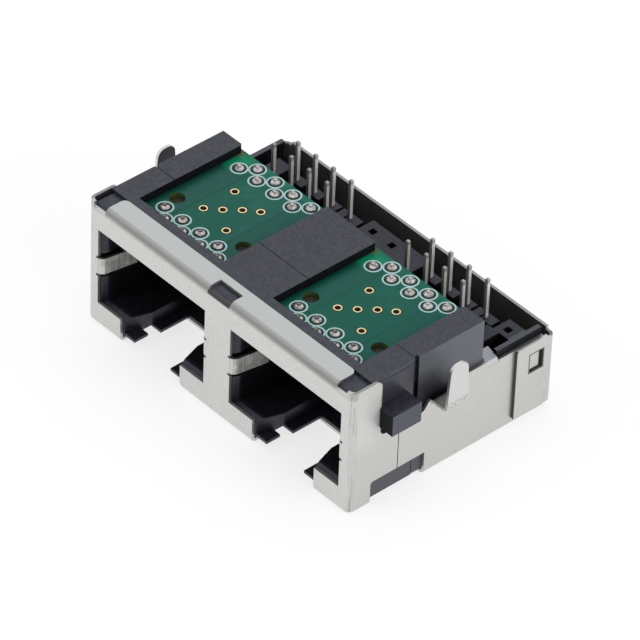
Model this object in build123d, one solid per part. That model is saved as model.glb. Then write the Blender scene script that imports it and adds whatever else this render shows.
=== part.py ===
from build123d import *
import os

# Ethernet connector with two ports side by side, for a circuit board. The cover plate is down at
# z = 0, the ports face -Y, and the pins and ground tabs stand up. Sizes are in millimetres. The
# model is worked out with the front face at y = 0 and moved back to its middle when it is written.

# Sheet metal and running clearances
sheet = 0.25
bend = 0.6
cover_bend = 0.45
fit = 0.03
inner_bend = bend - sheet

# Shield as a whole
port_pitch = 15.24
body_half_width = port_pitch / 2 + 7.38
body_depth = 20.35
body_height = 11.7
port_centres = (-port_pitch / 2, port_pitch / 2)


def from_rear(distance):
    """Place that lies a distance in front of the body's rear face."""
    return body_depth - distance


def from_top(distance):
    """Level that lies a distance below the body's top."""
    return body_height - distance


cover_rear = from_rear(0.65)

# Port openings in the front face
opening_half_width = 6.17
opening_top = from_top(2.4)
ledge_top = 2.2
latch_opening_half_width = 3.47
latch_opening_depth = 5.7
foot_corner_round = 0.8

# Spring fingers folded into the ports
finger_low = from_top(6.7)
finger_width = 1.48
finger_reach = 3.2
finger_lean = 0.5
finger_start = 0.22
finger_notch = 0.22

# Lip folded back over the top of the front
lip_half_width = body_half_width - 1.95
lip_depth = 2.07
lip_corner = 0.5
lip_window_half_width = 1.25
lip_window_rear = 1.35
lip_window_drop = 0.3
corner_notch_end = body_half_width - 0.7
corner_notch_drop = 0.45

# Ground tabs, folded out from the side walls and up
tab_outside = body_half_width + 1.7
tab_start = 7.95
tab_width = 2.15
tab_top = from_top(0.62)
tab_tip_round = 0.75
tab_bend = 0.4
tab_tip_width = 1.65

# Side walls, seen from the side
flap_rear = 2.87
block_notch_low = from_top(5.35)
block_notch_round = 0.5
block_notch_rise_start = 7.2
block_notch_rise_end = 7.75
wall_mid = from_top(4.6)
wall_high = from_top(4.0)
wall_rear_top = from_top(4.4)
wall_step = 10.3
wall_end = from_rear(1.1)
wall_end_low = 1.0
seam_place = 4.76
seam_gap = 0.08
side_window_start = 2.12
side_window_end = 7.5
side_window_top = ledge_top

# Retention tabs, folded inward over the tray's side walls
catch_start = from_rear(6.85)
catch_width = 1.25
catch_tip_width = 0.5
catch_reach = 1.0
catch_rise = 0.9

# Rear shield, its windows, and the squares pressed out of the side walls to hold it
rear_flap_start = from_rear(3.95)
rear_flap_corner = 0.3
rear_shield_low = 0.7
rear_clearance = 0.015
rear_notch_length = 0.85
rear_notch_depth = 0.3
snap_start = from_rear(2.6)
snap_length = 1.35
snap_low = from_top(7.15)
snap_height = 1.7
snap_inset = 0.15
snap_lift = 0.1

# Plastic housings
plastic_half_width = body_half_width - sheet - fit
plastic_front = sheet + fit
plastic_low = sheet + fit
plastic_rear = from_rear(0.4)
bar_top = from_top(0.02)
bar_inner = port_pitch / 2 + 4.88
bar_rear = from_rear(7.1)
bar_corner = 0.2
centre_bar_half_width = port_pitch / 2 - 4.84
front_bar_start = 2.1
pocket_front = 2.92
housing_seam = 6.4
seam_round = 0.2
side_groove_rear = 6.75
side_groove_depth = 0.3
shelf = from_top(2.58)
port_half_width = 5.88
port_top = from_top(2.7)
port_depth = from_rear(9.45)
port_back_wall = 0.32
roof_margin = 0.39
mouth_chamfer = 0.24
mouth_length = 0.5
port_outer_wall = port_pitch / 2 + 6.48
finger_recess_half_width = 6.32
finger_recess_margin = 0.4
finger_recess_length = 3.9

# Latch well under each port
well_front_half_width = 3.3
well_half_width = 2.6
well_taper_end = 2.5
latch_floor = 0.62
hook_top = 0.87
hook_half_gap = 2.1
hook_rear = 1.62
recess_half_width = 2.9
recess_rear = 2.6
slot_half_width = 1.75
slot_rear = 5.45

# Side blocks of the front housing
block_outside = body_half_width + 1.45
block_start = 2.7
block_root_start = flap_rear + 2 * fit
block_end = 5.55
block_low = from_top(4.4)
block_top = from_top(2.55)

# Circuit boards
board_half_width = 5.25
board_front = 2.62
board_rear = from_rear(6.85)
board_middle = (board_front + board_rear) / 2
board_low = from_top(1.8)
board_thickness = 1.0
board_top = board_low + board_thickness
board_notch_depth = 0.24
board_notch_start = from_rear(8.95)
board_notch_end = from_rear(7.4)
board_notch_round = 0.2
via_hole = 0.54
via_places = ((-1.61, -1.55), (-0.53, -0.54), (0.44, 0.57), (1.50, 1.49), (-1.62, 1.60), (1.51, -1.98))
peg_place = (3.81, 5.8)
peg_hole = 1.3
peg_diameter = 1.2
peg_top = from_top(1.2)

# Contacts: pads lie in pairs, one of each pair a half pitch to either side
contact_count = 8
contact_pitch = 1.016
wire = 0.28
wire_gap = 0.02
pad_hole = 0.56
front_pad_rows = (4.35, 3.38)
rear_pad_rows = (from_rear(8.56), from_rear(7.58))

# Contact carriers and contact wires
carrier_half_width = 6.27
carrier_low = shelf + fit
carrier_thickness = 0.7
carrier_rear = from_rear(9.15)
contact_bend_low = from_top(3.1)
contact_bend = 0.5
contact_tip_y = from_rear(10.65)
contact_tip_z = from_top(6.0)

# Pins that go to the host board
pin_rows = (from_rear(5.05), from_rear(3.48))
pin_tip = from_top(0.08)
pin_bevel = 0.08
pin_run_low = from_top(5.8)
pin_bend = 0.35

# Solder domes on the boards
solder_radius = 0.43
solder_height = 0.25
lead_stand = 0.33

# Tray of the rear housing, with a comb for the pins and the trough behind it
tray_top = from_top(3.8)
tray_wall = 0.42
tray_wall_rear = from_rear(1.05)
tray_wall_low = 3.0
platform_rear = from_rear(2.27)
trough_floor = 1.6
comb_start = -3.85
comb_end = 4.92
comb_end_front = 4.28
comb_front = from_rear(6.4)
comb_floor = from_top(5.4)
comb_teeth = ((-2.85, -1.6), (-0.8, 0.4), (1.2, 2.2), (2.45, 3.2), (3.4, 4.6))
tooth_front = pin_rows[1] - 0.42
tooth_rear = pin_rows[1] + 0.48
square_hole = 0.6
square_hole_depth = 1.5
square_hole_row = from_rear(3.25)
square_holes = (-1.7, 0.45, body_half_width - 1.6)
pocket_start = bar_rear + 0.1
pocket_floor = from_top(7.3)
right_pocket_inner = body_half_width - 1.8
right_pocket_rear = from_rear(3.99)
left_pocket_inner = body_half_width - 2.0
left_plate_inner = body_half_width - 3.6
left_plate_rear = from_rear(2.8)

# How far a cutting block runs past the face that it opens
past = 1.0


def block(x0, x1, y0, y1, z0, z1):
    """Box between two corners."""
    size = Box(x1 - x0, y1 - y0, z1 - z0, align=(Align.MIN, Align.MIN, Align.MIN))
    return Pos(x0, y0, z0) * size


def both_sides(solid):
    """The solid and its mirror image across the middle of the connector."""
    return [solid, mirror(solid, about=Plane.YZ)]


def outline(points, rounds=None):
    """Flat face through the points. rounds gives a radius for the number of a point."""
    face = make_face(Polyline(*points, close=True))
    for number, radius in (rounds or {}).items():
        corner = Vector(*points[number])
        nearest = min(face.vertices(), key=lambda vertex: (vertex.center() - corner).length)
        face = fillet(nearest, radius)
    return face


def across(face, x0, x1):
    """Solid from a face drawn in Y and Z, between two places across the connector."""
    return extrude(Plane.YZ.offset(x0) * face, amount=x1 - x0)


def backward(face, y0, y1):
    """Solid from a face drawn in X and Z, between two places from front to rear."""
    return extrude(Plane.XZ.offset(-y0) * face, amount=y0 - y1)


def upward(face, z0, z1):
    """Solid from a face drawn in X and Y, between two heights."""
    return extrude(Plane.XY.offset(z0) * face, amount=z1 - z0)


def strip(points, radius, width):
    """Flat outline of a bent strip whose middle line goes through the points."""
    return trace(FilletPolyline(*points, radius=radius), width)


def folded_box(half_width, y0, y1, z0, z1, inside=0.0):
    """Box with the folds of the shield: its front upright edges, and its low front and sides.

    inside is how far the box lies in from the sheet's outer face, which makes the folds tighter.
    """
    solid = block(-half_width, half_width, y0, y1, z0, z1)
    near = 1e-4

    def on_side(edge):
        return abs(abs(edge.center().X) - half_width) < near

    def on_front(edge):
        return abs(edge.center().Y - y0) < near

    def on_floor(edge):
        return abs(edge.center().Z - z0) < near

    upright = [edge for edge in solid.edges() if on_side(edge) and on_front(edge)]
    solid = fillet(upright, bend - inside)
    low = [edge for edge in solid.edges() if on_floor(edge) and edge.center().Y < y1 - near]
    return fillet(low, cover_bend - inside)


def contact_place(number):
    """Place of a contact across its port, from the port's middle."""
    return (number - (contact_count - 1) / 2) * contact_pitch


def pad_places(rows):
    """Places of the pads of a set, from the port's middle, as x and y."""
    places = []
    for number in range(contact_count):
        places.append((contact_place(number), rows[number % 2]))
    return places


def finger(centre, side):
    """Spring finger folded in from one edge of a port opening."""
    root = centre + side * (opening_half_width + finger_notch)
    corner = centre + side * (opening_half_width - finger_start)
    tip = corner - side * finger_lean
    path = [(root, sheet / 2), (corner, sheet / 2), (tip, finger_reach)]
    return upward(strip(path, bend - sheet / 2, sheet), finger_low, finger_low + finger_width)


def make_main_shield():
    """Front face, cover plate and side walls in one folded sheet, with lip, tabs and fingers."""
    outer = folded_box(body_half_width, 0, cover_rear, 0, body_height)
    hollow = folded_box(body_half_width - sheet, sheet, cover_rear + past, sheet, body_height + past, sheet)
    shield = outer - hollow

    # Front top edge: the lip's fold in the middle, a notch at each corner
    fold_start = body_height - bend
    shield -= block(-lip_half_width, lip_half_width, -past, bend, fold_start, body_height + past)
    notch_low = body_height - corner_notch_drop
    corner_notch = block(lip_half_width, corner_notch_end, -past, bend, notch_low, body_height + past)
    for cut in both_sides(corner_notch):
        shield -= cut
    lip_level = body_height - sheet / 2
    lip_path = [(sheet / 2, fold_start - fit), (sheet / 2, lip_level), (lip_depth, lip_level)]
    lip = across(strip(lip_path, bend - sheet / 2, sheet), -lip_half_width, lip_half_width)
    lip = fillet(lip.edges().filter_by(Axis.Z).group_by(Axis.Y)[-1], lip_corner)
    lip -= block(
        -lip_window_half_width, lip_window_half_width, -past, lip_window_rear,
        body_height - lip_window_drop, body_height + past,
    )
    shield += lip

    # Port openings, their latch slots in the cover plate, and the centre foot's cut corner
    for centre in port_centres:
        w = opening_half_width
        s = latch_opening_half_width
        points = [
            (centre - w, opening_top), (centre + w, opening_top), (centre + w, ledge_top),
            (centre + s, ledge_top), (centre + s, -past), (centre - s, -past), (centre - s, ledge_top),
            (centre - w, ledge_top),
        ]
        shield -= backward(outline(points), -past, bend)
        shield -= block(centre - s, centre + s, -past, latch_opening_depth, -past, bend)
    foot_edge = port_centres[0] + latch_opening_half_width
    corner_cut = block(foot_edge - past, foot_edge + foot_corner_round, -past, bend, -past, foot_corner_round)
    corner_round = Pos(foot_edge + foot_corner_round, 0, foot_corner_round) * Rot(90, 0, 0) * Cylinder(
        foot_corner_round, 4 * past
    )
    shield -= corner_cut - corner_round

    # Spring fingers with a small notch above and below each root
    finger_top = finger_low + finger_width
    for centre in port_centres:
        for side in (-1, 1):
            edge = centre + side * opening_half_width
            root = edge + side * finger_notch
            for low in (finger_low - finger_notch, finger_top):
                shield -= block(min(edge, root), max(edge, root), -past, bend, low, low + finger_notch)
            shield += finger(centre, side)

    # Top line of the side walls, with room for the side block and the ground tab, and their rear end
    catch_end = catch_start + catch_width
    rise = (wall_mid - block_notch_low) / 2
    top_line = [
        (flap_rear, body_height + past), (flap_rear, block_notch_low),
        (block_notch_rise_start, block_notch_low), (block_notch_rise_end, wall_mid),
        (wall_step, wall_mid), (wall_step, wall_high), (catch_start, wall_high),
        (catch_start, wall_mid), (catch_end, wall_mid), (catch_end, wall_rear_top),
        (wall_end, wall_rear_top), (wall_end, wall_end_low), (cover_rear + past, wall_end_low),
        (cover_rear + past, body_height + past),
    ]
    above = outline(top_line, {1: block_notch_round, 2: rise, 3: rise})
    side_in = body_half_width - bend - sheet
    side_out = body_half_width + past
    for cut in both_sides(across(above, side_in, side_out)):
        shield -= cut

    # Rounded upper corner of the front flap
    flap_corner = block(
        side_in, side_out, flap_rear - bend, flap_rear + past, body_height - bend, body_height + past
    )
    flap_corner -= Pos(body_half_width, flap_rear - bend, body_height - bend) * Rot(0, 90, 0) * Cylinder(
        bend, 4 * past
    )
    for cut in both_sides(flap_corner):
        shield -= cut

    # Butt seam between flap and side wall, and the window at the cover's edge
    seam_start = seam_place - seam_gap / 2
    seam_end = seam_start + seam_gap
    seam = block(side_in, side_out, seam_start, seam_end, side_window_top, block_notch_low + past)
    window_points = [
        (side_window_start, -past), (side_window_end, -past), (side_window_end, side_window_top),
        (side_window_start, side_window_top),
    ]
    window = across(outline(window_points, {3: sheet}), body_half_width - bend - fit, side_out)
    for cut in both_sides(seam) + both_sides(window):
        shield -= cut

    # Ground tabs: out over the wall's top, then up
    tab_end = tab_start + tab_width
    tab_line = tab_outside - sheet / 2
    wall_line = body_half_width - sheet / 2
    tab_level = wall_mid - sheet / 2
    fold_low = tab_level - tab_bend
    tab_path = [
        (wall_line, fold_low - fit), (wall_line, tab_level), (tab_line, tab_level), (tab_line, tab_top),
    ]
    tab = backward(strip(tab_path, tab_bend, sheet), tab_start, tab_end)
    inset = (tab_width - tab_tip_width) / 2
    tab_points = [
        (tab_start, 0), (tab_end, 0), (tab_end, wall_mid + tab_bend), (tab_end - inset, tab_top),
        (tab_start + inset, tab_top), (tab_start, wall_mid + tab_bend),
    ]
    tab &= across(outline(tab_points, {3: tab_tip_round, 4: tab_tip_round}), side_in, side_out + tab_outside)
    room = block(side_in, side_out, tab_start, tab_end, fold_low, wall_mid + past)
    for cut in both_sides(room):
        shield -= cut
    for piece in both_sides(tab):
        shield += piece

    # Retention tabs: narrowing inward and up
    catch_low = wall_mid - bend
    catch_path = [
        (wall_line, catch_low), (wall_line, wall_mid), (wall_line - catch_reach, wall_mid + catch_rise),
    ]
    catch = backward(strip(catch_path, sheet, sheet), catch_start, catch_end)
    tip_inset = (catch_width - catch_tip_width) / 2
    tip_place = wall_line - catch_reach - sheet
    taper = [
        (side_out, catch_start), (wall_line - sheet, catch_start), (tip_place, catch_start + tip_inset),
        (tip_place, catch_end - tip_inset), (wall_line - sheet, catch_end), (side_out, catch_end),
    ]
    catch &= upward(outline(taper), catch_low, body_height)
    for piece in both_sides(catch):
        shield += piece

    # Squares pressed outward into the rear shield's windows
    near_end = snap_start + snap_inset
    far_end = snap_start + snap_length - 2 * snap_inset
    low = snap_low + snap_inset
    high = snap_low + snap_height - snap_inset
    press = block(body_half_width - fit, body_half_width + snap_lift, near_end, far_end, low, high)
    dent_bottom = body_half_width - sheet + snap_lift
    dent = block(side_in, dent_bottom, near_end + fit, far_end - fit, low + fit, high - fit)
    for piece in both_sides(press):
        shield += piece
    for cut in both_sides(dent):
        shield -= cut
    return shield


def make_rear_shield():
    """Rear wall and two side flaps in one folded sheet, with a window for each snap."""
    outside = body_half_width + rear_clearance + sheet
    outer = block(-outside, outside, rear_flap_start, body_depth, rear_shield_low, wall_rear_top)
    outer = fillet(outer.edges().filter_by(Axis.Z).group_by(Axis.Y)[-1], bend)
    inside = outside - sheet
    hollow = block(-inside, inside, rear_flap_start - past, body_depth - sheet, -past, body_height)
    hollow = fillet(hollow.edges().filter_by(Axis.Z).group_by(Axis.Y)[-1], inner_bend)
    shield = outer - hollow
    window = block(
        inside - past, outside + past, snap_start, snap_start + snap_length, snap_low, snap_low + snap_height
    )
    notch = block(
        outside - rear_notch_length, outside + past, body_depth - rear_notch_length, body_depth + past,
        wall_rear_top - rear_notch_depth, wall_rear_top + past,
    )
    for cut in both_sides(window) + both_sides(notch):
        shield -= cut
    corners = shield.edges().filter_by(Axis.X).group_by(Axis.Y)[0].group_by(Axis.Z)[-1]
    return fillet(corners, rear_flap_corner)


def upper_pockets(y0, y1):
    """Room for the boards and carriers between the bars, open upward, as cutting solids."""
    cuts = []
    for centre in port_centres:
        side = 1 if centre > 0 else -1
        near, far = sorted((side * centre_bar_half_width, side * bar_inner))
        groove = board_half_width + fit
        cuts.append(block(near, far, max(y0, pocket_front), y1, board_low, bar_top + past))
        cuts.append(block(centre - groove, centre + groove, y0, y1, board_low - fit, board_top + fit))
        pocket = carrier_half_width + fit
        cuts.append(block(centre - pocket, centre + pocket, y0, y1, shelf, board_low))
    return cuts


def latch_well(centre):
    """Cutting solid of the latch well, with its hooks, recess and slot through the floor."""
    front, w = well_front_half_width, well_half_width
    plan = [
        (centre - front, -past), (centre + front, -past), (centre + front, plastic_front),
        (centre + w, well_taper_end), (centre + w, port_depth), (centre - w, port_depth), (centre - w, well_taper_end),
        (centre - front, plastic_front),
    ]
    g, r, s = hook_half_gap, recess_half_width, slot_half_width
    slot = [
        (centre - g, -past), (centre + g, -past), (centre + g, hook_rear), (centre + r, hook_rear),
        (centre + r, recess_rear), (centre + s, recess_rear), (centre + s, slot_rear),
        (centre - s, slot_rear), (centre - s, recess_rear), (centre - r, recess_rear),
        (centre - r, hook_rear), (centre - g, hook_rear),
    ]
    return upward(outline(plan), hook_top, ledge_top + fit) + upward(outline(slot), -past, hook_top + fit)


def make_front_housing():
    """Both port sockets, the front halves of the three bars, and the side blocks."""
    lip_underside = body_height - sheet - fit
    housing = folded_box(plastic_half_width, plastic_front, housing_seam, plastic_low, lip_underside, sheet)
    top_front = housing.edges().filter_by(Axis.X).group_by(Axis.Z)[-1].sort_by(Axis.Y)[0]
    housing = fillet(top_front, inner_bend)
    housing += block(
        -plastic_half_width, plastic_half_width, front_bar_start, housing_seam, lip_underside - fit, bar_top
    )
    socket_rear = port_depth + port_back_wall
    housing += block(-port_outer_wall, port_outer_wall, housing_seam - fit, socket_rear, plastic_low, shelf)
    for cut in upper_pockets(board_front - fit, housing_seam + past):
        housing -= cut

    for centre in port_centres:
        w = port_half_width
        housing -= block(centre - w, centre + w, -past, port_depth, ledge_top, port_top)
        roof = port_half_width - roof_margin
        housing -= block(
            centre - roof, centre + roof, pocket_front + fit, port_depth, port_top - fit, shelf + fit
        )
        wide = Rectangle(2 * (w + mouth_chamfer), port_top - ledge_top + 2 * mouth_chamfer)
        narrow = Rectangle(2 * w, port_top - ledge_top)
        middle = (port_top + ledge_top) / 2
        mouth = loft([
            Plane.XZ.offset(-plastic_front) * Pos(centre, middle) * wide,
            Plane.XZ.offset(-plastic_front - mouth_length) * Pos(centre, middle) * narrow,
        ])
        housing -= mouth
        r = finger_recess_half_width
        housing -= block(
            centre - r, centre + r, -past, finger_recess_length,
            finger_low - finger_recess_margin, finger_low + finger_width + finger_recess_margin,
        )
        housing -= latch_well(centre)
        opening = latch_opening_half_width
        housing -= block(centre - opening, centre + opening, -past, latch_opening_depth, -past, latch_floor)

    # Rounded outer edges at the seam, and the side blocks
    round_x = plastic_half_width - seam_round
    round_y = housing_seam - seam_round
    corner = block(round_x, plastic_half_width + past, round_y, housing_seam + past, wall_mid, bar_top + past)
    corner -= Pos(round_x, round_y, 0) * Cylinder(seam_round, 2 * body_height + past)
    for cut in both_sides(corner):
        housing -= cut
    clear_of_flap = body_half_width + 2 * fit
    block_root = plastic_half_width - fit
    side_block = block(block_root, block_outside, block_root_start, block_end, block_low, block_top)
    side_block += block(clear_of_flap, block_outside, block_start, block_end, block_low, block_top)
    for piece in both_sides(side_block):
        housing += piece
    return housing


def pin_path(row):
    """Middle line of one pin in Y and Z: board pad, low run in the housing, then up to its tip."""
    pad = rear_pad_rows[row]
    pin = pin_rows[row]
    return [(pad, board_top + lead_stand), (pad, pin_run_low), (pin, pin_run_low), (pin, pin_tip)]


def make_rear_housing():
    """Rear halves of the bars, the wall behind the ports, and the tray that holds the pins."""
    seam = housing_seam + 2 * fit
    w = plastic_half_width
    socket_rear = port_depth + port_back_wall + fit
    housing = block(-w, w, seam, plastic_rear, plastic_low, bar_top)
    low_sides = housing.edges().filter_by(Axis.Y).group_by(Axis.Z)[0]
    housing = fillet(low_sides, inner_bend)

    # Room for the sockets of the front housing, between the side skirts
    inner = port_outer_wall + fit
    housing -= block(-inner, inner, seam - past, socket_rear, -past, shelf + fit)
    for cut in upper_pockets(seam - past, plastic_rear + past):
        housing -= cut
    carrier_end = carrier_rear + fit
    for centre in port_centres:
        half = board_half_width
        housing += block(centre - half, centre + half, carrier_end, bar_rear, shelf - fit, board_low - fit)

    # Tray behind the bars, with the trough at the rear
    housing -= block(-w - past, w + past, bar_rear, plastic_rear + past, tray_top, bar_top + past)
    tray_in = w - tray_wall
    housing -= block(-tray_in, tray_in, platform_rear, plastic_rear + past, trough_floor, tray_top + past)
    housing -= block(-w - past, w + past, tray_wall_rear, plastic_rear + past, tray_wall_low, tray_top + past)

    # Comb around the pins of each port
    comb_rear = platform_rear + past
    for centre in port_centres:
        left = centre + comb_start
        right = centre + comb_end
        comb = block(left, centre + comb_end_front, comb_front, comb_rear, comb_floor, tray_top + past)
        comb += block(left, right, right_pocket_rear, comb_rear, comb_floor, tray_top + past)
        for start, end in comb_teeth:
            comb -= block(
                centre + start, centre + end, tooth_front, tooth_rear, comb_floor - past, tray_top + 2 * past
            )
        housing -= comb

    # Square holes, the pockets beside the bars, and notches for the retention tabs
    half = square_hole / 2
    hole_low = tray_top - square_hole_depth
    for x in square_holes:
        housing -= block(
            x - half, x + half, square_hole_row - half, square_hole_row + half, hole_low, bar_top
        )
    above = tray_top + past
    open_rear = platform_rear + fit
    housing -= block(right_pocket_inner, tray_in, pocket_start, right_pocket_rear, pocket_floor, above)
    housing -= block(-tray_in, -left_pocket_inner, pocket_start, open_rear, pocket_floor, above)
    housing -= block(-left_pocket_inner - fit, -left_plate_inner, left_plate_rear, open_rear, comb_floor, above)
    notch = block(
        tray_in - fit, w + past, catch_start - 2 * fit, catch_start + catch_width + 2 * fit,
        wall_mid - bend, above,
    )
    for cut in both_sides(notch):
        housing -= cut

    # Rounded rear corners of the bars, and a groove beside the seam on each outer side
    corners = []
    for edge in housing.edges().filter_by(Axis.Z):
        if abs(edge.center().Y - bar_rear) < fit and edge.center().Z > board_top:
            corners.append(edge)
    housing = fillet(corners, bar_corner)
    groove = block(w - side_groove_depth, w + past, seam - past, side_groove_rear, wall_high, bar_top + past)
    for cut in both_sides(groove):
        housing -= cut

    # Channels that the pins lie in
    channel = wire + 2 * wire_gap
    channels = [across(strip(pin_path(row), pin_bend, channel), 0, channel) for row in range(2)]
    for centre in port_centres:
        for number in range(contact_count):
            start = centre + contact_place(number) - channel / 2
            housing -= Pos(start, 0, 0) * channels[number % 2]
    return housing


def make_circuit_board(centre):
    """Small board with its via holes, peg holes and lead holes, and a break-off notch."""
    board = block(
        centre - board_half_width, centre + board_half_width, board_front, board_rear, board_low, board_top
    )

    def drill(x, y, diameter):
        middle = board_low + board_thickness / 2
        return Pos(centre + x, y, middle) * Cylinder(diameter / 2, board_thickness + past)

    for x, y in via_places:
        board -= drill(x, board_middle + y, via_hole)
    for side in (-1, 1):
        board -= drill(side * peg_place[0], peg_place[1], peg_hole)
    for x, y in pad_places(front_pad_rows) + pad_places(rear_pad_rows):
        board -= drill(x, y, pad_hole)
    edge = centre - board_half_width
    relief = block(
        edge - past, edge + board_notch_depth, board_notch_start, board_notch_end,
        board_low - past, board_top + past,
    )
    relief = fillet(relief.edges().filter_by(Axis.Z).group_by(Axis.X)[-1], board_notch_round)
    return board - relief


def make_contact_carrier(centre):
    """Plastic plate over the port that guides the contact wires, with two pegs in the board."""
    top = carrier_low + carrier_thickness
    carrier = block(
        centre - carrier_half_width, centre + carrier_half_width, pocket_front, carrier_rear, carrier_low, top
    )
    for side in (-1, 1):
        peg = Cylinder(peg_diameter / 2, peg_top - top, align=(Align.CENTER, Align.CENTER, Align.MIN))
        carrier += Pos(centre + side * peg_place[0], peg_place[1], top) * peg
    half = wire / 2 + wire_gap
    for x, y in pad_places(front_pad_rows):
        carrier -= block(
            centre + x - half, centre + x + half, y - half, y + half, carrier_low - past, top + past
        )
    return carrier


def make_contact_wire(centre, number):
    """Spring contact: down from its pad through the carrier, then back and down into the port."""
    x, y = pad_places(front_pad_rows)[number]
    path = [
        (y, board_top + lead_stand), (y, contact_bend_low), (contact_tip_y, contact_tip_z),
    ]
    start = centre + x - wire / 2
    return across(strip(path, contact_bend, wire), start, start + wire)


def make_terminal_pin(centre, number):
    """Square pin from its board pad through the housing and up to a bevelled tip."""
    start = centre + contact_place(number) - wire / 2
    pin = across(strip(pin_path(number % 2), pin_bend, wire), start, start + wire)
    return chamfer(pin.edges().group_by(Axis.Z)[-1], pin_bevel)


def make_solder_joints(centre):
    """Sixteen domes of solder, each around the lead that comes up through the board."""
    radius = (solder_radius ** 2 + solder_height ** 2) / (2 * solder_height)
    ball = Pos(0, 0, solder_height - radius) * Sphere(radius)
    dome = ball & block(-past, past, -past, past, 0, past)
    half = wire / 2 + wire_gap / 2
    dome -= block(-half, half, -half, half, -past, past)
    domes = []
    for x, y in pad_places(front_pad_rows) + pad_places(rear_pad_rows):
        domes.append(Pos(centre + x, y, board_top) * dome)
    return Compound(children=domes)


def write(name, solid):
    """Write one piece with the connector's middle over the origin."""
    export_step(Pos(0, -body_depth / 2, 0) * solid, f"parts/{name}.step")


os.makedirs("parts", exist_ok=True)
write("main_shield", make_main_shield())
write("rear_shield", make_rear_shield())
write("front_housing", make_front_housing())
write("rear_housing", make_rear_housing())
for side_name, port_centre in zip(("left", "right"), port_centres):
    write(f"circuit_board_{side_name}", make_circuit_board(port_centre))
    write(f"contact_carrier_{side_name}", make_contact_carrier(port_centre))
    write(f"solder_joints_{side_name}", make_solder_joints(port_centre))
    for index in range(contact_count):
        write(f"contact_wire_{side_name}_{index + 1}", make_contact_wire(port_centre, index))
        write(f"terminal_pin_{side_name}_{index + 1}", make_terminal_pin(port_centre, index))
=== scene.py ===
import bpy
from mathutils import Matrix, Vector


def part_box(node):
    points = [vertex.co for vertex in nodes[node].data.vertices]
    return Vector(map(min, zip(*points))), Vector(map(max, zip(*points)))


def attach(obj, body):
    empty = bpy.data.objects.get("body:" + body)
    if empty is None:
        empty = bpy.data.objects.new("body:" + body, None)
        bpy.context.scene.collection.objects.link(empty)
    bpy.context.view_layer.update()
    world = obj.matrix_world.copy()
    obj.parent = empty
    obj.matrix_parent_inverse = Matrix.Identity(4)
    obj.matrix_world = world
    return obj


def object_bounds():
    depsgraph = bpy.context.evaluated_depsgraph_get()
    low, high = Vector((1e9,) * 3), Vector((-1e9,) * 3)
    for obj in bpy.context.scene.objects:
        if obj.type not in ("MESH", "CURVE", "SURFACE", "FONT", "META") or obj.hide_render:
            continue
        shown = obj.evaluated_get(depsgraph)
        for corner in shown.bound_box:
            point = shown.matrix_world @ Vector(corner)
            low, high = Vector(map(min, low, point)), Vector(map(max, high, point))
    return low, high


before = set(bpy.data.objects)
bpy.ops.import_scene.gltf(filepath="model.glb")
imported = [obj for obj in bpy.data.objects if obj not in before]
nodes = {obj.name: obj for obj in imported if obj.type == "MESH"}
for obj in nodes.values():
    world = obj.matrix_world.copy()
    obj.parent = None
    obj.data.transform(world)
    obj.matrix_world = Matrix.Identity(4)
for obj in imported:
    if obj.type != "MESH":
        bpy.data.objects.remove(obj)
cad_box = [list(corner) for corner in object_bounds()]

import math

import bpy
import numpy as np
from mathutils import Matrix, Vector

# Shield. The main shield and the rear shield are cut and folded from bright tin-plated steel
# sheet. The plating is satin, with a fine grain along the rolling direction, and the ground
# tabs are a little scuffed where they are folded up. Places in the masks are in millimetres.

FRONT_FACE = cad_box[0][1] * 1000.0
BODY_HEIGHT = 11.7


class Wire:
    """One output of a node. Sums between wires and numbers add a Math node each."""

    def __init__(self, finish, socket):
        self.finish = finish
        self.socket = socket

    def math(self, operation, *others, clamp=False):
        values = dict(enumerate((self, *others)))
        settings = {"operation": operation, "use_clamp": clamp}
        return self.finish.node("ShaderNodeMath", settings, values)

    def __add__(self, other):
        return self.math("ADD", other)

    def __mul__(self, other):
        return self.math("MULTIPLY", other)

    def __sub__(self, other):
        return self.math("SUBTRACT", other)

    def __rsub__(self, other):
        return self.math("MULTIPLY", -1.0).math("ADD", other)

    def __truediv__(self, other):
        return self.math("DIVIDE", other)

    def __abs__(self):
        return self.math("ABSOLUTE")

    __radd__ = __add__
    __rmul__ = __mul__

    def within(self, low, high, soft):
        """1 between two values and 0 outside them, with edges as wide as soft."""
        rise = ((self - low) / soft).math("ADD", 0.5, clamp=True)
        fall = ((high - self) / soft).math("ADD", 0.5, clamp=True)
        return rise * fall


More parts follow.
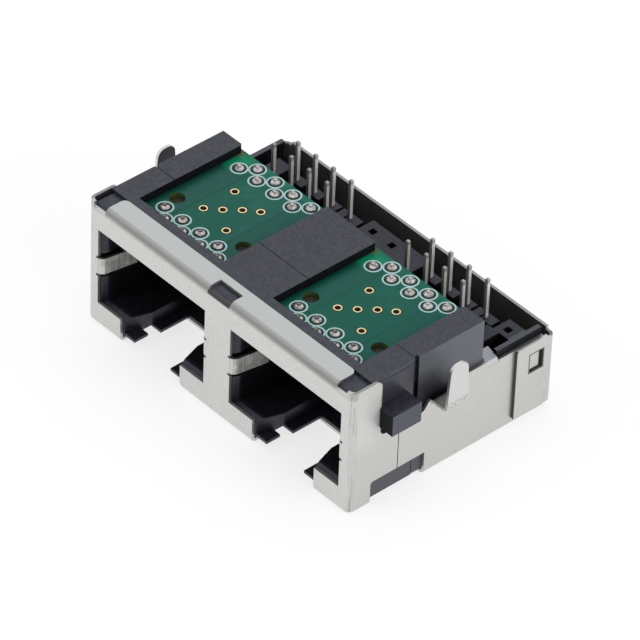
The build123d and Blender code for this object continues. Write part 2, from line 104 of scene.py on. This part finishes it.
class Finish:
    """The nodes of a material or of the world."""

    def __init__(self, owner):
        owner.use_nodes = True
        self.owner = owner
        self.tree = owner.node_tree
        self.tree.nodes.clear()

    def node(self, kind, settings, values, output=0):
        """Add a node: its settings first, then the value or link of each socket."""
        made = self.tree.nodes.new(kind)
        for name, value in settings.items():
            setattr(made, name, value)
        for name, value in values.items():
            if isinstance(value, Wire):
                self.tree.links.new(value.socket, made.inputs[name])
            else:
                made.inputs[name].default_value = value
        return Wire(self, made.outputs[output]) if made.outputs else made

    def place(self):
        """Where a point is on the object: its vector, and its x, y and z in millimetres."""
        vector = self.node("ShaderNodeTexCoord", {}, {}, "Object")
        parts = [self.node("ShaderNodeSeparateXYZ", {}, {0: vector}, axis) for axis in "XYZ"]
        return vector, [part * 1000.0 for part in parts]

    def facing(self):
        """Which way the surface faces at a point: the x, y and z of its normal."""
        normal = self.node("ShaderNodeNewGeometry", {}, {}, "Normal")
        return [self.node("ShaderNodeSeparateXYZ", {}, {0: normal}, axis) for axis in "XYZ"]

    def noise(self, vector, scale, detail, rough=0.5):
        """Cloudy pattern from 0 to 1, with scale patches to a metre and detail finer layers."""
        values = {"Vector": vector, "Scale": scale, "Detail": detail, "Roughness": rough}
        return self.node("ShaderNodeTexNoise", {}, values)

    def stretch(self, vector, factors):
        """Draw a pattern out: the smaller a factor, the longer the pattern along that axis."""
        return self.node("ShaderNodeMapping", {}, {"Vector": vector, "Scale": factors})

    def mix(self, factor, first, second):
        values = {0: factor, 6: first, 7: second}
        return self.node("ShaderNodeMix", {"data_type": "RGBA"}, values, 2)

    def bump(self, height, distance):
        return self.node("ShaderNodeBump", {}, {"Height": height, "Distance": distance})

    def surface(self, values):
        """Close the material with one shader."""
        shader = self.node("ShaderNodeBsdfPrincipled", {}, values)
        self.node("ShaderNodeOutputMaterial", {}, {"Surface": shader})
        return self.owner


def paint(red, green, blue):
    """A colour written as 0 to 255 per channel, as the linear values that a shader takes."""
    values = np.array((red, green, blue)) / 255.0
    linear = np.where(values <= 0.04045, values / 12.92, ((values + 0.055) / 1.055) ** 2.4)
    return (*(float(value) for value in linear), 1.0)


def dress(name, material):
    """Give a CAD node its material."""
    nodes[name].data.materials.clear()
    nodes[name].data.materials.append(material)


tin = Finish(bpy.data.materials.new("tin_plated_sheet"))
vector, (x, y, z) = tin.place()
east, north, up = tin.facing()
back = y - FRONT_FACE
wide = abs(x)
grain = tin.noise(tin.stretch(vector, (900.0, 9000.0, 9000.0)), 1.0, 4.0, 0.6)
clouds = tin.noise(vector, 260.0, 3.0)
stains = tin.noise(vector, 1400.0, 4.0, 0.65)
scuff = tin.noise(tin.stretch(vector, (5200.0, 5200.0, 4200.0)), 1.0, 4.0, 0.7)
draw_lines = tin.noise(tin.stretch(vector, (9000.0, 9000.0, 260.0)), 1.0, 3.0, 0.6)

# Wear at the folds of the ground tabs, and drawing lines in the spring fingers and upright folds
tab_fold = wide.within(15.05, 16.9, 0.1) * back.within(7.9, 10.15, 0.3) * z.within(6.5, 7.7, 0.4)
worn = (scuff.math("SUBTRACT", 0.46, clamp=True) * 4.0 * tab_fold).math("MINIMUM", 0.5)
# The ground tabs, painted lighter for the light they catch
tab = wide.within(16.2, 17.0, 0.2)
finger = back.within(0.15, 3.6, 0.2) * z.within(4.95, 6.52, 0.1) * wide.within(1.0, 14.6, 0.1)
turning = north.within(-0.96, -0.15, 0.2) * abs(east).within(0.25, 0.97, 0.2)
upright_fold = turning * wide.within(14.2, 15.2, 0.1)
drawn_dark = draw_lines.within(0.54, 0.9, 0.06) * (finger * 0.45 + upright_fold * 0.5)
drawn_light = draw_lines.within(0.0, 0.44, 0.06) * finger

# Folded lip, with painted light and shade: its flat top a little darker and bluer, the bend
# darker, and the painted shaded line where the bend meets the front face
on_lip = north.within(-1.0, -0.2, 0.15) * z.within(11.0, 11.9, 0.2)
lip_bend = up.within(0.55, 0.97, 0.2) * on_lip
lip_line = up.within(0.0, 0.72, 0.2) * on_lip
lip_top = up.within(0.9, 1.5, 0.1) * z.within(11.4, 11.9, 0.1)

# Cut edges of the sheet, which are bare and a little dark, with painted shade on them and in the
# gaps beside them, and a lighter painted shade on the top edges
upper_edges = back.within(19.9, 20.6, 0.1) + wide.within(14.7, 15.1, 0.05)
top_edge = up.within(0.8, 1.5, 0.1) * upper_edges
flap_side = north.within(-1.5, -0.7, 0.2) * wide.within(14.95, 15.5, 0.05)
flap_edge = flap_side * back.within(15.5, 17.5, 0.1)
port_side = abs(north).within(-0.5, 0.3, 0.1) * z.within(2.0, 9.4, 0.1)
port_edge = port_side * back.within(0.02, 0.3, 0.02)
window = wide.within(-1.0, 1.24, 0.03) * back.within(-0.1, 1.36, 0.05)
window_edge = window * z.within(11.12, 11.66, 0.02)

# Painted shade in the gap and on the rim round the squares that hold the rear shield
snap_dent = back.within(17.7, 19.15, 0.05) * z.within(4.5, 6.3, 0.05)
snap_gap = snap_dent * wide.within(14.0, 15.07, 0.01)
proud = wide.within(15.0, 15.4, 0.01)
snap_square = back.within(17.9, 18.95, 0.03) * z.within(4.7, 6.1, 0.03)
snap_window = back.within(17.64, 19.21, 0.05) * z.within(4.44, 6.36, 0.05)
snap_rim = (proud * snap_window - proud * snap_square).math("MAXIMUM", 0.0)
edges = flap_edge + port_edge * 0.5 + window_edge + snap_gap + snap_rim * 0.9
shade_and_bare_edge = edges.math("MINIMUM", 1.0)

# Retention tabs with a painted reflection, the left ground tab's inner face with painted shade,
# the corner flaps, the front face with painted light, and a stain at the rear
catch = wide.within(13.0, 14.72, 0.05) * back.within(13.4, 14.85, 0.05) * z.within(6.9, 8.6, 0.1)
inward = east.within(0.6, 1.5, 0.2) * x.within(-16.6, -14.6, 0.05)
inner_left = inward * z.within(7.2, 12.0, 0.2)
flap = wide.within(14.9, 15.1, 0.05) * back.within(0.5, 2.9, 0.6) * z.within(6.0, 11.6, 1.5)
front = north.within(-1.5, -0.9, 0.05) * back.within(-0.1, 0.4, 0.05)
smudge = wide.within(15.0, 15.6, 0.05) * back.within(18.4, 21.0, 1.6) * z.within(0.5, 4.0, 2.0)
fine = tin.noise(vector, 7000.0, 2.0)
colour = tin.mix(clouds, paint(202, 202, 199), paint(211, 211, 208))
for share, tone in (
    # painted light: the sheet lighter towards the top
    ((z / BODY_HEIGHT) * 0.45, paint(221, 220, 218)),
    # painted light on the front face
    (front * 0.6, paint(224, 224, 223)),
    (grain * 0.3, paint(190, 190, 188)),
    (fine.within(0.5, 1.0, 0.2) * 0.3, paint(186, 185, 180)),
    (stains.math("SUBTRACT", 0.55, clamp=True) * 1.2, paint(180, 176, 168)),
    # painted shade on the lip's flat top, its bend and the line at the bend
    (lip_top * 0.8, paint(188, 192, 192)),
    (lip_bend * 0.8, paint(150, 150, 148)),
    (lip_line * 0.9, paint(138, 138, 136)),
    # painted shade on the top edges
    (top_edge * 0.7, paint(124, 124, 124)),
    # painted light on the ground tabs
    (tab * 0.8, paint(216, 217, 216)),
    # painted reflection: the retention tabs darker and bluish
    (catch * 0.9, paint(146, 146, 158)),
    (drawn_light * 0.5, paint(232, 231, 228)),
    (finger * stains.within(0.5, 1.0, 0.1) * 0.6, paint(168, 165, 160)),
    (drawn_dark.math("MINIMUM", 1.0), paint(140, 137, 130)),
    # painted shade on the left ground tab's inner face
    (inner_left * 0.8, paint(112, 112, 118)),
    # painted shade along the cut edges and in the gaps, where the edges are also bare
    (shade_and_bare_edge * 0.96, paint(36, 34, 36)),
    (smudge * stains.within(0.5, 1.0, 0.4) * 0.3, paint(180, 175, 165)),
    (worn, paint(128, 116, 92)),
):
    colour = tin.mix(share, colour, tone)
sheet = tin.surface({
    "Base Color": colour,
    "Metallic": 1.0 - shade_and_bare_edge * 0.8 - flap * 0.8,
    "Roughness": clouds * 0.12 + worn * 0.3 + 0.36,
    "Normal": tin.bump(grain, 0.000004),
})
dress("main_shield", sheet)
dress("rear_shield", sheet)

# Housings. The front and rear housings and the two contact carriers are moulded in black
# plastic filled with glass, which leaves a fine matt grain and faint flow marks.

moulding = Finish(bpy.data.materials.new("black_moulding"))
vector, (x, y, z) = moulding.place()
east, north, up = moulding.facing()
back = y - FRONT_FACE
wide = abs(x)
flow = moulding.noise(moulding.stretch(vector, (520.0, 900.0, 700.0)), 1.0, 4.0, 0.6)
veins = moulding.noise(vector, 1900.0, 4.0, 0.6)
mottle = moulding.noise(vector, 3400.0, 3.0, 0.7)
specks = moulding.noise(vector, 9000.0, 2.0)
# Painted light on the outer sides, which are lighter than the tops; on the rear half's sides it
# grows stronger upwards and rearwards along the ramp, and painted shade takes its place lower and
# further forward
outer = wide.within(14.69, 14.8, 0.01)
ramp = ((z - 7.4) * 0.35 + (back - 7.0) * 0.12).math("ADD", 0.0, clamp=True)
rear_side = outer * back.within(6.42, 13.4, 0.02) * z.within(6.5, 12.0, 0.1)
front_side = outer * back.within(2.0, 6.42, 0.02) * z.within(2.3, 12.0, 0.1)
low_side = outer * z.within(0.0, 2.3, 0.1)
block_side = wide.within(16.4, 16.6, 0.02)
tint = moulding.mix(flow.within(0.42, 0.58, 0.2), paint(42, 26, 36), paint(10, 24, 32))
for share, tone in (
    (veins.within(0.5, 0.9, 0.15) * 0.6, paint(40, 40, 50)),
    (mottle.within(0.54, 1.0, 0.12) * 0.4, paint(54, 53, 68)),
    (mottle.within(0.0, 0.46, 0.12) * 0.6, paint(8, 8, 14)),
    # painted light on the outer sides of the housings and their side blocks
    (rear_side * ramp * 0.95, paint(88, 91, 97)),
    (front_side * 0.9, paint(48, 48, 54)),
    (low_side * 0.9, paint(66, 68, 72)),
    (block_side * 0.9, paint(58, 61, 70)),
):
    tint = moulding.mix(share, tint, tone)
tray = back.within(13.4, 20.1, 0.05)
# Painted highlight along the tops of the tray's side rails
rail = wide.within(14.2, 14.8, 0.02) * tray * up.within(0.8, 1.5, 0.1)
tint = moulding.mix(rail * 0.9, tint, paint(56, 60, 64))
# The tops of the pegs, seen down the board's holes, are tinted brownish olive, and take a share of
# the painted shade below
peg_top = back.within(5.0, 6.6, 0.05) * z.within(9.8, 10.6, 0.02) * wide.within(2.9, 12.4, 0.05)
tint = moulding.mix(peg_top * 0.9, tint, paint(72, 70, 50))
colour = moulding.mix(specks * 0.3, tint, paint(40, 40, 46))

# Painted shade: where little light reaches, in the ports, on the walls beside the boards, in the
# tray, on the pegs, on the block fronts and low and forward on the rear half's sides, the plastic
# is mixed with a matt, darker one
glossy = moulding.node("ShaderNodeBsdfPrincipled", {}, {
    "Base Color": colour,
    "Roughness": flow * 0.14 + 0.3,
    "IOR": 1.58,
    "Specular Tint": (0.8, 0.86, 1.0, 1.0),
    "Normal": moulding.bump(specks, 0.000007),
})
shade_diffuse = moulding.node("ShaderNodeBsdfDiffuse", {}, {"Color": paint(15, 15, 15)})
port_inside = back.within(1.0, 11.3, 0.3) * z.within(2.1, 9.1, 0.1) * wide.within(0.0, 14.6, 0.05)
board_sides = abs(east).within(0.6, 1.5, 0.1) * wide.within(2.0, 12.6, 0.05)
board_walls = board_sides * z.within(9.8, 11.66, 0.02)
tray_floor = z.within(0.0, 7.84, 0.02) * wide.within(0.0, 14.6, 0.05)
tray_gaps = back.within(13.3, 20.1, 0.02) * tray_floor
tray_sides = outer * tray
block_front = wide.within(15.1, 16.6, 0.05) * north.within(-1.5, -0.7, 0.1)
shade_side = rear_side * (1.0 - ramp) * 0.75
platform_top = z.within(7.84, 7.96, 0.02) * wide.within(0.0, 14.1, 0.05)
platform = back.within(13.3, 18.3, 0.05) * platform_top
hidden = port_inside * 0.6
for shaded_place in (
    board_walls * 0.8, tray_gaps * 0.8, peg_top * 0.5, tray_sides * 0.7, block_front * 0.75,
    shade_side, platform * 0.3,
):
    hidden = hidden.math("MAXIMUM", shaded_place)
shader = moulding.node("ShaderNodeMixShader", {}, {0: hidden, 1: glossy, 2: shade_diffuse})
moulding.node("ShaderNodeOutputMaterial", {}, {"Surface": shader})
plastic = moulding.owner
for name, slot_name in (
    ("front_housing", "housing"), ("rear_housing", "housing"),
    ("contact_carrier_left", "carrier"), ("contact_carrier_right", "carrier"),
):
    dress(name, plastic)

# Circuit boards. Two small glass-fibre boards under green solder mask. Broad copper areas show
# through the mask as bands from front to rear, and the mask stops short around each pad.

board_low_corner, board_high_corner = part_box("circuit_board_right")
BOARD_LOW = board_low_corner[2]
BOARD_TOP = board_high_corner[2]
PORT_SHIFT = (board_low_corner[0] + board_high_corner[0]) * 500.0
PAD_PITCH = 2.032
ROW_SHIFT = PAD_PITCH / 4
FRONT_ROWS = (4.35, 3.38)
REAR_ROWS = (11.79, 12.77)
PAD_AREA = 0.58
PAD_COUNT = 8
VIA_PLACES = [
    (-1.61, 6.51), (-0.53, 7.52), (0.44, 8.63), (1.50, 9.55), (-1.62, 9.66), (1.51, 6.08),
]
VIA_HALO = 0.47

mask = Finish(bpy.data.materials.new("green_board"))
vector, (x, y, z) = mask.place()
across = x - x.math("SIGN") * PORT_SHIFT
back = y - FRONT_FACE
cloud = mask.noise(vector, 420.0, 3.0)
blotches = mask.noise(vector, 1500.0, 3.0, 0.6)
left_band = across.within(-4.65, -2.8, 0.25) * back.within(4.9, 11.4, 0.5)
left_line = across.within(-2.68, -2.4, 0.2)
right_band = across.within(2.75, 4.7, 0.2) * back.within(3.0, 11.6, 0.5)
right_line = across.within(2.5, 2.74, 0.12)
blue_line = across.within(1.9, 2.42, 0.25) * back.within(2.0, 11.6, 0.5)
slant = back + abs(across + 0.2) * 0.9
field_area = across.within(-1.7, 1.6, 0.4) * back.within(9.0, 11.3, 0.4)
top_field = field_area * slant.within(10.1, 14.0, 0.5)
# Painted shade along both sides of the board beside the bars, and painted shade and reflection of
# the bar along its left side
edge = abs(across).within(4.85, 6.0, 0.5)
shaded = across.within(-6.0, -4.45, 0.7) * back.within(2.0, 12.9, 0.4)
rear_edge = back.within(12.6, 14.0, 0.9)
rear_corner = across.within(-4.9, -3.3, 0.6) * back.within(11.2, 13.2, 0.7)
green = mask.mix(cloud * 0.5, paint(33, 92, 76), paint(38, 90, 84))
for share, tone in (
    (left_band * 0.8, paint(44, 82, 78)),
    (right_band * 0.6, paint(38, 80, 76)),
    (blue_line * 0.6, paint(46, 92, 88)),
    (top_field * 0.6, paint(46, 104, 90)),
    ((left_line + right_line) * 0.7, paint(24, 72, 58)),
    (rear_edge * 0.7, paint(44, 118, 98)),
    (edge * 0.5, paint(18, 78, 54)),
    (blotches.within(0.5, 1.0, 0.2) * 0.25, paint(24, 66, 62)),
    (0.35, paint(14, 80, 70)),
    (x.within(2.0, 20.0, 8.0) * 0.35, paint(8, 84, 70)),
    (shaded * 0.8, paint(6, 48, 34)),
    (rear_corner * 0.7, paint(16, 132, 92)),
):
    green = mask.mix(share, green, tone)


def spot(aside, along, radius, soft):
    """1 within a radius of a place and 0 beyond it, with an edge as wide as soft."""
    distance = (aside * aside + along * along).math("SQRT")
    return distance.within(-1.0, radius, soft)


# A dark ring round each small hole, a brownish spot at the left rear corner, and darker bare board
# round each pad
halo = None
for place_x, place_y in VIA_PLACES:
    ring = spot(across - place_x, back - place_y, VIA_HALO, 0.06)
    halo = ring if halo is None else halo.math("MAXIMUM", ring)
green = mask.mix(halo * 0.8, green, paint(38, 62, 36))
brown_spot = spot(across + 4.95, back - 13.0, 0.4, 0.25)
green = mask.mix(brown_spot * 0.7, green, paint(92, 88, 44))
bare = None
for rows in (FRONT_ROWS, REAR_ROWS):
    for row, shift in zip(rows, (-ROW_SHIFT, ROW_SHIFT)):
        aside = (((across - shift) / PAD_PITCH).math("FRACT") - 0.5) * PAD_PITCH
        pad = spot(aside, back - row, PAD_AREA, 0.05)
        pad = pad * (across - shift).within(-3.8, 3.8, 0.05)
        bare = pad if bare is None else bare.math("MAXIMUM", pad)
green = mask.mix(bare * 0.85, green, paint(30, 58, 50))

# The laminate shows at the cut sides of the board and in its large holes
laminate = z.within(BOARD_LOW * 1000.0 + 0.01, BOARD_TOP * 1000.0 - 0.01, 0.01)
board = mask.surface({
    "Base Color": mask.mix(laminate, green, paint(66, 82, 48)),
    "Roughness": cloud * 0.1 + 0.2,
    "IOR": 1.2,
    "Normal": mask.bump(cloud, 0.00001),
})
for side in ("left", "right"):
    dress(f"circuit_board_{side}", board)

# Printed rings. A pale ring is screen printed round each pad, and each small plated hole has a
# gold rim on both faces of the board and a gold barrel between them.

RING_INNER = 0.000585
RING_OUTER = 0.00072
RING_HEIGHT = 0.000015
RING_SLOPE = 0.000005
RING_STEPS = 40
VIA_BORE = 0.000248
VIA_BARREL = 0.000269
VIA_RIM = 0.000362
VIA_HEIGHT = 0.00002
VIA_BEVEL = 0.00001
VIA_SLOPE = 0.000008
VIA_STEPS = 32


def turned(profile, places, steps):
    """Closed rings: a profile of radius and height carried once round each place.

    A point of ring k is (x_k + r cos a, y_k + r sin a, h) for each profile point (r, h) and
    each angle a. The profile is closed too, so the surface has no open edge.
    """
    radius, height = np.array(profile).T
    angle = np.linspace(0.0, 2.0 * np.pi, steps, endpoint=False)
    ring_x = radius[None, :] * np.cos(angle)[:, None]
    ring_y = radius[None, :] * np.sin(angle)[:, None]
    ring_z = np.broadcast_to(height, ring_x.shape)
    centres = np.array(places)
    points = np.stack([
        centres[:, 0, None, None] + ring_x,
        centres[:, 1, None, None] + ring_y,
        np.broadcast_to(ring_z, (len(centres), *ring_x.shape)),
    ], axis=-1)
    count = len(profile)
    step, point = np.meshgrid(np.arange(steps), np.arange(count), indexing="ij")
    next_step, next_point = (step + 1) % steps, (point + 1) % count
    quads = np.stack([
        step * count + point, next_step * count + point,
        next_step * count + next_point, step * count + next_point,
    ], axis=-1).reshape(-1, 4)
    starts = np.arange(len(centres)) * steps * count
    return points.reshape(-1, 3), (quads[None] + starts[:, None, None]).reshape(-1, 4)


def new_piece(name, points, faces, material):
    """Put worked-out points and faces into a mesh of the object."""
    mesh = bpy.data.meshes.new(name)
    mesh.from_pydata(points.tolist(), [], faces.tolist())
    mesh.materials.append(material)
    mesh.update()
    piece = bpy.data.objects.new(name, mesh)
    bpy.context.scene.collection.objects.link(piece)
    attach(piece, "root")
    return piece


ink = Finish(bpy.data.materials.new("printed_ink"))
vector, _ = ink.place()
patchy = ink.noise(vector, 3800.0, 3.0, 0.6)
legend = ink.surface({
    "Base Color": ink.mix(patchy, paint(142, 176, 176), paint(190, 208, 212)),
    "Roughness": patchy * 0.1 + 0.4,
})
gold = Finish(bpy.data.materials.new("gold_plate"))
vector, _ = gold.place()
shade = gold.noise(vector, 2600.0, 2.0)
gilt = gold.surface({
    "Base Color": gold.mix(shade, paint(224, 208, 160), paint(240, 230, 196)),
    "Metallic": 1.0,
    "Roughness": shade * 0.15 + 0.22,
})
PAD_PLACES = [
    ((number - (PAD_COUNT - 1) / 2) * PAD_PITCH / 2, rows[number % 2])
    for number in range(PAD_COUNT)
    for rows in (FRONT_ROWS, REAR_ROWS)
]
RING_PROFILE = [
    (RING_INNER, BOARD_TOP), (RING_OUTER, BOARD_TOP),
    (RING_OUTER - RING_SLOPE, BOARD_TOP + RING_HEIGHT),
    (RING_INNER + RING_SLOPE, BOARD_TOP + RING_HEIGHT),
]
VIA_PROFILE = [
    (VIA_BORE, BOARD_LOW - VIA_HEIGHT), (VIA_RIM, BOARD_LOW - VIA_HEIGHT), (VIA_RIM, BOARD_LOW),
    (VIA_BARREL, BOARD_LOW), (VIA_BARREL, BOARD_TOP), (VIA_RIM, BOARD_TOP),
    (VIA_RIM - VIA_SLOPE, BOARD_TOP + VIA_HEIGHT), (VIA_BORE + VIA_BEVEL, BOARD_TOP + VIA_HEIGHT),
    (VIA_BORE, BOARD_TOP + VIA_BEVEL),
]
for side, shift in (("left", -PORT_SHIFT), ("right", PORT_SHIFT)):
    pads = [((shift + px) / 1000.0, (FRONT_FACE + py) / 1000.0) for px, py in PAD_PLACES]
    points, faces = turned(RING_PROFILE, pads, RING_STEPS)
    new_piece(f"printed_rings_{side}", points, faces, legend)
    vias = [((shift + px) / 1000.0, (FRONT_FACE + py) / 1000.0) for px, py in VIA_PLACES]
    points, faces = turned(VIA_PROFILE, vias, VIA_STEPS)
    new_piece(f"via_rims_{side}", points, faces, gilt)

# Contacts and pins. The contact wires are sprung wire, gilded in the ports and tinned where they
# are soldered. The pins are square tinned wire, cut and bevelled at their tips.

spring = Finish(bpy.data.materials.new("contact_wire"))
vector, (x, y, z) = spring.place()
shade = spring.noise(vector, 2600.0, 2.0)
tinned = z.within(9.0, 13.0, 0.3)
colour = spring.mix(shade, paint(214, 186, 118), paint(232, 212, 156))
contact = spring.surface({
    "Base Color": spring.mix(tinned, colour, paint(120, 114, 112)),
    "Metallic": 1.0,
    "Roughness": shade * 0.15 + 0.24,
})
WIRE_COUNT = 8
for side in ("left", "right"):
    for number in range(1, WIRE_COUNT + 1):
        dress(f"contact_wire_{side}_{number}", contact)

drawn = Finish(bpy.data.materials.new("tinned_wire"))
vector, (x, y, z) = drawn.place()
east, north, up = drawn.facing()
streaks = drawn.noise(drawn.stretch(vector, (9000.0, 9000.0, 900.0)), 1.0, 3.0)
worn_tip = z.within(11.2, 12.0, 0.25)
colour = drawn.mix(streaks.within(0.45, 1.0, 0.2), paint(176, 173, 168), paint(228, 225, 220))
# Painted shade on the faces turned to the front and painted light on the faces turned to the right
colour = drawn.mix(north.within(-1.5, -0.5, 0.2) * 0.8, colour, paint(112, 108, 106))
colour = drawn.mix(east.within(0.5, 1.5, 0.2) * 0.8, colour, paint(248, 247, 244))
wire = drawn.surface({
    "Base Color": drawn.mix(worn_tip * 0.7, colour, paint(128, 124, 122)),
    "Metallic": 0.6,
    "Roughness": streaks * 0.2 + 0.24,
})
for side in ("left", "right"):
    for number in range(1, WIRE_COUNT + 1):
        dress(f"terminal_pin_{side}_{number}", wire)

# Solder. Each lead is soldered to its pad with a small bright dome, slightly lumpy and clouded.

melt = Finish(bpy.data.materials.new("solder"))
vector, (x, y, z) = melt.place()
lumps = melt.noise(vector, 3200.0, 3.0, 0.6)
colour = melt.mix(lumps.within(0.47, 1.0, 0.2), paint(134, 128, 128), paint(208, 204, 202))
# Painted shade, tinted green, at the foot of each dome where it meets the board
joint = melt.surface({
    "Base Color": melt.mix(z.within(10.0, 10.965, 0.03), colour, paint(64, 74, 72)),
    "Metallic": 1.0,
    "Roughness": lumps * 0.25 + 0.24,
    "Normal": melt.bump(lumps, 0.00008),
})
for side in ("left", "right"):
    dress(f"solder_joints_{side}", joint)

# Studio. A pale floor under the connector, a white surround, and large soft lamps above it, to
# its front left and to its right.

PURE_WHITE = (1.0, 1.0, 1.0, 1.0)
WHITE_LEVEL = 1.0
ROOM_LEVEL = 0.62


def seen_directly(finish):
    """1 for what the eye, a reflection or glass sees, and 0 for the light that falls on things."""
    rays = [
        finish.node("ShaderNodeLightPath", {}, {}, ray)
        for ray in ("Is Camera Ray", "Is Glossy Ray", "Is Transmission Ray")
    ]
    return rays[0].math("MAXIMUM", rays[1]).math("MAXIMUM", rays[2])


world = bpy.data.worlds.new("studio")
bpy.context.scene.world = world
room = Finish(world)
level = seen_directly(room) * (WHITE_LEVEL - ROOM_LEVEL) + ROOM_LEVEL
background = room.node("ShaderNodeBackground", {}, {"Color": PURE_WHITE, "Strength": level})
room.node("ShaderNodeOutputWorld", {}, {"Surface": background})

FLOOR_DROP = 0.00003
FLOOR_HALF = 1.5
FLOOR_GLOW = 0.72
PALE_GREY = (0.86, 0.86, 0.86, 1.0)
GLOW_LEVEL = WHITE_LEVEL + 0.05
floor_mesh = bpy.data.meshes.new("floor")
floor_mesh.from_pydata([
    (-FLOOR_HALF, -FLOOR_HALF, -FLOOR_DROP), (FLOOR_HALF, -FLOOR_HALF, -FLOOR_DROP),
    (FLOOR_HALF, FLOOR_HALF, -FLOOR_DROP), (-FLOOR_HALF, FLOOR_HALF, -FLOOR_DROP),
], [], [(0, 1, 2, 3)])
floor = bpy.data.objects.new("floor", floor_mesh)
bpy.context.scene.collection.objects.link(floor)
paper = Finish(bpy.data.materials.new("pale_paper"))
diffuse = paper.node("ShaderNodeBsdfDiffuse", {}, {"Color": PALE_GREY})
glow = paper.node("ShaderNodeEmission", {}, {"Color": PURE_WHITE, "Strength": GLOW_LEVEL})
share = seen_directly(paper) * FLOOR_GLOW
shown = paper.node("ShaderNodeMixShader", {}, {0: share, 1: diffuse, 2: glow})
paper.node("ShaderNodeOutputMaterial", {}, {"Surface": shown})
floor_mesh.materials.append(paper.owner)


LAMP_WIDTH = 0.35


def lamp(name, place, share_of_white):
    """Square soft lamp aimed at the object, set by the share of full white that it gives there."""
    light = bpy.data.lights.new(name, "AREA")
    light.shape = "SQUARE"
    light.size = LAMP_WIDTH
    light.energy = share_of_white * math.pi ** 2 * Vector(place).length_squared
    bulb = bpy.data.objects.new(name, light)
    bulb.location = place
    bulb.rotation_euler = (-Vector(place)).to_track_quat("-Z", "Y").to_euler()
    bpy.context.scene.collection.objects.link(bulb)
    bulb.visible_camera = False
    bulb.visible_glossy = False


lamp("lamp_above", (-0.05, 0.05, 0.45), 0.30)
lamp("lamp_right", (0.5, 0.1, 0.22), 0.35)
lamp("lamp_front", (-0.2, -0.45, 0.2), 0.25)

# Camera. A long lens from the front right, well above the connector.

EYE = Vector((0.25503629, -0.23869179, 0.29443908))
RIGHTWARD = Vector((0.66395534, 0.7471079, 0.03151323))
FORWARD = Vector((-0.56110241, 0.52562389, -0.63944007))
LENS = 337.5643
SENSOR_WIDTH = 36.0
NEAREST = 0.02
FARTHEST = 10.0

camera_data = bpy.data.cameras.new("camera")
camera_data.sensor_width = SENSOR_WIDTH
camera_data.lens = LENS
camera_data.clip_start = NEAREST
camera_data.clip_end = FARTHEST
camera = bpy.data.objects.new("camera", camera_data)
upward = RIGHTWARD.cross(FORWARD)
turn = Matrix((RIGHTWARD, upward, -FORWARD)).transposed()
camera.matrix_world = Matrix.Translation(EYE) @ turn.to_4x4()
bpy.context.scene.collection.objects.link(camera)
bpy.context.scene.camera = camera
bpy.context.scene.view_settings.view_transform = "Standard"
